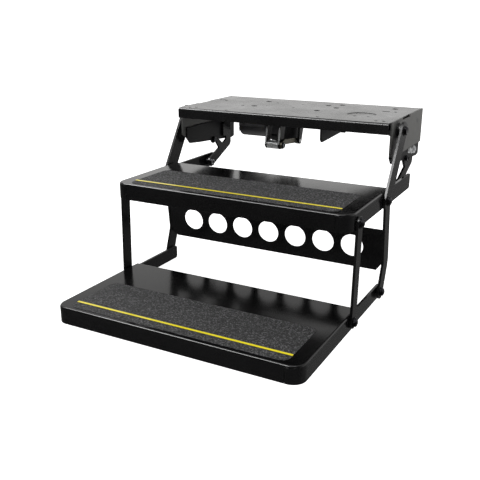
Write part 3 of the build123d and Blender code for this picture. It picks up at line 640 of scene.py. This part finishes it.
# Six screws round the gearbox lid.
lid_lo, lid_hi = low("gearbox_lid"), high("gearbox_lid")
lid_at = (lid_lo + lid_hi) / 2
lid_r = (lid_hi.x - lid_lo.x) / 2
DRUM_R = 0.0376     # the ribs' feet, just inside the housing's round wall
bm = bmesh.new()
for turn in range(6):
    angle = math.radians(60 * turn + 15)
    screw_r = lid_r - 0.006
    spot = Vector((lid_at.x + screw_r * math.cos(angle), lid_at.y + screw_r * math.sin(angle), lid_lo.z))
    round_bar(bm, spot, (0, 0, -1), 0.0006, 0.0046, 0.0002)
    hex_head(bm, spot - Vector((0, 0, 0.0006)), (0, 0, -1), 0.007, 0.0028)
piece("gearbox_lid_screws", bm, MATERIALS["zinc"], "frame")

bm = bmesh.new()
turned(bm, Vector((lid_at.x, lid_at.y, lid_lo.z)), (0, 0, -1),
       [(0, 0.017), (0.0008, 0.0165), (0.0016, 0.012), (0.0012, 0.008)], 48)
for turn in range(20):
    angle = math.radians(18 * turn + 4)
    away = Vector((math.cos(angle), math.sin(angle), 0))
    across = Vector((-away.y, away.x, 0)) * 0.0011
    hub = Vector((lid_at.x, lid_at.y, 0)) + away * DRUM_R
    under_neck = hub.x < lid_at.x and hub.y < ROTOR.y + 0.02
    beside_crank = hub.x > lid_at.x and abs(hub.y - CRANK.y) < 0.015
    if under_neck or beside_crank:
        continue
    loops = []
    for z, deep in ((lid_hi.z + 0.003, 0.0008), (lid_hi.z + 0.012, 0.0016), (-0.014, 0.0022),
                    (-0.007, 0.0026)):
        base = Vector((hub.x, hub.y, z))
        loops.append([base - across, base + across, base + across * 0.7 + away * deep,
                      base - across * 0.7 + away * deep])
    rings(bm, loops)
piece("gearbox_ribs", bm, MATERIALS["casting"], "frame")

# The motor can's end band and dimples, then its two through bolts.
can_lo, can_hi = low("motor_can"), high("motor_can")
can_r = (can_hi.z - can_lo.z) / 2
bm = bmesh.new()
turned(bm, Vector((can_hi.x - 0.006, ROTOR.y, ROTOR.z)), (1, 0, 0),
       [(0, can_r + 0.0001), (0.0008, can_r + 0.0012), (0.004, can_r + 0.0012), (0.0048, can_r + 0.0001)], 64)
for turn in range(12):
    angle = math.radians(30 * turn)
    spot = Vector((can_lo.x + 0.022, ROTOR.y + can_r * math.cos(angle), ROTOR.z + can_r * math.sin(angle)))
    away = Vector((0, math.cos(angle), math.sin(angle)))
    turned(bm, spot - away * 0.001, away, [(0, 0.003), (0.0013, 0.0026), (0.0017, 0.0015)], 20)
piece("motor_can_crimps", bm, MATERIALS["motor_steel"], "frame")

bm = bmesh.new()
for turn in (35, 215):
    angle = math.radians(turn)
    spot = Vector((can_lo.x + 0.006, ROTOR.y + 0.025 * math.cos(angle), ROTOR.z + 0.025 * math.sin(angle)))
    round_bar(bm, spot, (-1, 0, 0), 0.0008, 0.0052, 0.0002)
    hex_head(bm, spot - Vector((0.0008, 0, 0)), (-1, 0, 0), 0.008, 0.0035)
piece("motor_through_bolts", bm, MATERIALS["zinc"], "frame")


# Bright zinc rods along the front edge of each black cheek of the drive lever: a painted highlight.
bm = bmesh.new()
for lo, hi in islands("drive_lever"):
    x = (lo.x + hi.x) / 2
    across = Vector((0, LEVER_EYE.z - A.z, A.y - LEVER_EYE.y)).normalized()
    if across.y > 0:
        across.negate()
    start = Vector((x, A.y, A.z)).lerp(Vector((x, LEVER_EYE.y, LEVER_EYE.z)), 0.3) + across * 0.0155
    end = Vector((x, LEVER_EYE.y, LEVER_EYE.z)) + across * 0.0112
    tube_along(bm, straight(start, end, 0.006), (hi.x - lo.x) / 2 + 0.0003, 16)
piece("lever_edge_highlight_rods", bm, MATERIALS["zinc"], "swing_arms")

# Web between the gearbox's neck and its round drum.
housing_lo = low("gearbox_housing")
bm = bmesh.new()
loops = []
top = ROTOR.z - 0.026
for x, deep in ((housing_lo.x + 0.012, 0.002), (lid_at.x - 0.03, 0.0035), (lid_at.x - 0.004, 0.006)):
    bottom = lid_lo.z + 0.001 if x > lid_at.x - 0.031 else ROTOR.z - 0.034
    loops.append([Vector((x, ROTOR.y - 0.022 - deep, top)), Vector((x, ROTOR.y + 0.018 + deep, top)),
                  Vector((x, ROTOR.y + 0.014 + deep, bottom)), Vector((x, ROTOR.y - 0.018 - deep, bottom))])
rings(bm, loops)
piece("gearbox_web", bm, MATERIALS["casting"], "frame")


def upright(face):
    return abs(face.normal.z) < 0.3


def hole_rims(node):
    """Circles (centre, radius) of the round holes through a level plate, from its top edges."""
    bm = bmesh.new()
    bm.from_mesh(frame["nodes"][node].data)
    bmesh.ops.remove_doubles(bm, verts=bm.verts, dist=1e-6)
    top = max(v.co.z for v in bm.verts)
    keep = set()
    for face in bm.faces:
        if upright(face) and face.calc_center_median().z > top - 0.0032:
            keep.update(v for v in face.verts if abs(v.co.z - top) < 1e-5)
    found = []
    # Only edges on a hole's wall are followed: the flat top's own edges join one hole to the next.
    for points in connected(keep, lambda edge: any(upright(face) for face in edge.link_faces)):
        lo, hi = corners(points)
        wide, deep = hi.x - lo.x, hi.y - lo.y
        if len(points) > 6 and abs(wide - deep) < 0.0015 and wide < 0.02:
            found.append((Vector(((lo.x + hi.x) / 2, (lo.y + hi.y) / 2, top)), wide / 2))
    bm.free()
    return sorted(found, key=lambda spot: tuple(spot[0]))


# Dark collars drawn down round the frame plate's holes, there as painted shade that makes each hole look dark.
bm = bmesh.new()
plate_low = -0.003
for at, radius in hole_rims("frame_top_plate"):
    if radius < 0.0035:
        continue
    loops = []
    for z, r in ((plate_low, radius + 0.0022), (plate_low - 0.0045, radius + 0.0012),
                 (plate_low - 0.006, radius + 0.0008), (plate_low - 0.006, radius), (plate_low, radius)):
        loops.append([Vector((at.x + r * math.cos(a), at.y + r * math.sin(a), z))
                      for a in (2 * math.pi * k / 28 for k in range(28))])
    rings(bm, loops, close=True)
piece("hole_shade_collars", bm, DULL_BRACKET, "frame")

# Plates behind the seams in each tread's front skirt.
for prefix in ("upper", "lower"):
    pan_lo, pan_hi = low(f"{prefix}_tread_pan"), high(f"{prefix}_tread_pan")
    seam = low(f"{prefix}_tread_rail_right").x
    bm = bmesh.new()
    for side in SIDES:
        loops = []
        for x, inset in ((seam - 0.012, 0.0006), (seam - 0.010, 0.0), (seam + 0.008, 0.0),
                         (seam + 0.010, 0.0006)):
            y0, y1 = pan_lo.y + 0.0026, pan_lo.y + 0.0041
            z0, z1 = pan_lo.z + 0.002 + inset, pan_hi.z - 0.0046
            loops.append([Vector((side * x, y0, z0)), Vector((side * x, y1, z0)), Vector((side * x, y1, z1)),
                          Vector((side * x, y0, z1))])
        rings(bm, loops)
    piece(f"{prefix}_seam_plates", bm, DULL_BRACKET, f"{prefix}_tread")


# ---- grip mats: real relief ----------------------------------------------------------------------
MAT_CORNER, GRAINS_ACROSS, GRAINS_DEEP = 0.018, 232, 72


def grip_mat(name, node, body, seed):
    """Rounded sheet whose top is pushed up and down grain by grain."""
    lo, hi = low(node), high(node)
    corner, across, deep = MAT_CORNER, GRAINS_ACROSS, GRAINS_DEEP
    draw = random.Random(seed)
    bm = bmesh.new()
    grid = []
    for j in range(deep + 1):
        y = lo.y + (hi.y - lo.y) * j / deep
        inset = max(0.0, corner - min(y - lo.y, hi.y - y))
        half = (hi.x - lo.x) / 2 - corner + math.sqrt(max(0.0, corner ** 2 - inset ** 2))
        rim_row = j in (0, deep)
        row = []
        for i in range(across + 1):
            x = (lo.x + hi.x) / 2 + half * (2 * i / across - 1)
            rim = rim_row or i in (0, across)
            z = hi.z - (0.0005 if rim else 0.00075 * draw.random() ** 1.6)
            shake = 0.0 if rim else 0.0006
            row.append(bm.verts.new((x + shake * (draw.random() - 0.5),
                                     y + shake * (draw.random() - 0.5), z)))
        grid.append(row)
    for j in range(deep):
        for i in range(across):
            bm.faces.new((grid[j][i], grid[j][i + 1], grid[j + 1][i + 1], grid[j + 1][i]))
    right, left = [row[-1] for row in grid[1:-1]], [row[0] for row in grid[-2:0:-1]]
    border = grid[0] + right + grid[-1][::-1] + left
    under = [bm.verts.new((v.co.x, v.co.y, lo.z)) for v in border]
    count = len(border)
    for i in range(count):
        j = (i + 1) % count
        bm.faces.new((border[i], under[i], under[j], border[j]))
    bm.faces.new(under)
    mat = piece(name, bm, MATERIALS["grip"], body, 80)
    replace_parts(mat, node)


grip_mat("upper_grit_sheet", "upper_grip_mat", "upper_tread", 11)
grip_mat("lower_grit_sheet", "lower_grip_mat", "lower_tread", 12)

# ---- stage, light and camera -------------------------------------------------------------------
AZIMUTH, ELEVATION = math.radians(28.51), math.radians(18.78)
CAMERA_AT, LENS_MM, SENSOR_MM = (0.735, -1.6955, 0.2483), 50.715, 36
SHIFT_X, SHIFT_Y = 0.00458, 0.00167
FLOOR_REACH, FLOOR_GAP = 40.0, 0.001
back = Vector((math.sin(AZIMUTH) * math.cos(ELEVATION), -math.cos(AZIMUTH) * math.cos(ELEVATION),
               math.sin(ELEVATION)))
camera = bpy.data.objects.new("camera", bpy.data.cameras.new("camera"))
bpy.context.collection.objects.link(camera)
camera.location = CAMERA_AT
camera.rotation_mode = "QUATERNION"
camera.rotation_quaternion = (-back).to_track_quat("-Z", "Y")
camera.data.sensor_width = SENSOR_MM
camera.data.lens = LENS_MM
camera.data.shift_x = SHIFT_X
camera.data.shift_y = SHIFT_Y
bpy.context.scene.camera = camera

floor_mesh = bpy.data.meshes.new("studio_floor")
floor_z = cad_box[0].z - FLOOR_GAP
floor_corners = [(x * FLOOR_REACH, y * FLOOR_REACH, floor_z) for x, y in ((-1, -1), (1, -1), (1, 1), (-1, 1))]
floor_mesh.from_pydata(floor_corners, [], [(0, 1, 2, 3)])
floor = bpy.data.objects.new("studio_floor", floor_mesh)
bpy.context.collection.objects.link(floor)
paper = Nodes("studio_paper")
paper.link(paper.grey(paper.noise(3, 2), [(0.3, 0.93), (0.7, 0.95)]), "Base Color")
paper.fix(Roughness=0.9, Specular_IOR_Level=0.1, Emission_Color=(1, 1, 1, 1), Emission_Strength=1.1)
floor_mesh.materials.append(paper.material)
floor.visible_glossy = False

world = bpy.data.worlds.new("studio")
world.use_nodes = True
bpy.context.scene.world = world
tree = world.node_tree
sky = tree.nodes["Background"]
direction = tree.nodes.new("ShaderNodeTexCoord").outputs["Generated"]
split = tree.nodes.new("ShaderNodeSeparateXYZ")
tree.links.new(direction, split.inputs[0])


# The sky's strength goes by direction: bright behind the step, darker overhead and towards the ground,
# so that each tread, skirt and side plate mirrors its own tone.
def world_ramp(value, low_end, high_end, dark, bright):
    node = tree.nodes.new("ShaderNodeMapRange")
    node.interpolation_type = "SMOOTHSTEP"
    tree.links.new(value, node.inputs["Value"])
    node.inputs["From Min"].default_value = low_end
    node.inputs["From Max"].default_value = high_end
    node.inputs["To Min"].default_value = dark
    node.inputs["To Max"].default_value = bright
    return node.outputs[0]


def world_math(operation, a, b):
    node = tree.nodes.new("ShaderNodeMath")
    node.operation = operation
    for index, value in enumerate((a, b)):
        if isinstance(value, bpy.types.NodeSocket):
            tree.links.new(value, node.inputs[index])
        else:
            node.inputs[index].default_value = value
    return node.outputs[0]


rear_glow = world_ramp(split.outputs["Y"], -0.35, 0.35, 0.0, 1.12)
below = world_ramp(split.outputs["Z"], -0.20, -0.02, 0.07, 1.0)
above = world_ramp(split.outputs["Z"], 0.08, 0.44, 1.0, 0.5)
glow = world_math("MULTIPLY", rear_glow, world_math("MULTIPLY", below, above))
tree.links.new(world_math("ADD", glow, 0.08), sky.inputs["Strength"])
sky.inputs["Color"].default_value = (1.0, 0.995, 0.985, 1)


# Soft light from above and the left; the long strip only shows in reflections along the edges.
def softbox(name, at, target, width, height, power, colour=(1, 1, 1)):
    data = bpy.data.lights.new(name, "AREA")
    data.shape = "RECTANGLE"
    data.size, data.size_y = width, height
    data.energy = power
    data.color = colour
    light = bpy.data.objects.new(name, data)
    bpy.context.collection.objects.link(light)
    light.location = at
    light.rotation_mode = "QUATERNION"
    light.rotation_quaternion = (Vector(target) - Vector(at)).to_track_quat("-Z", "Y")
    return light


middle = (cad_box[0] + cad_box[1]) / 2
softbox("overhead_softbox", (0.2, -0.9, 2.3), middle, 1.8, 1.4, 26)
softbox("left_softbox", (-2.2, -1.4, 1.2), middle, 1.2, 1.6, 5)
edge_light = softbox("edge_strip_light", middle + Vector((-1.1, -0.8, 2.0)), middle, 3.2, 0.6, 125)
edge_light.visible_diffuse = False
bpy.context.scene.view_settings.view_transform = "Standard"
bpy.context.scene.view_settings.look = "None"
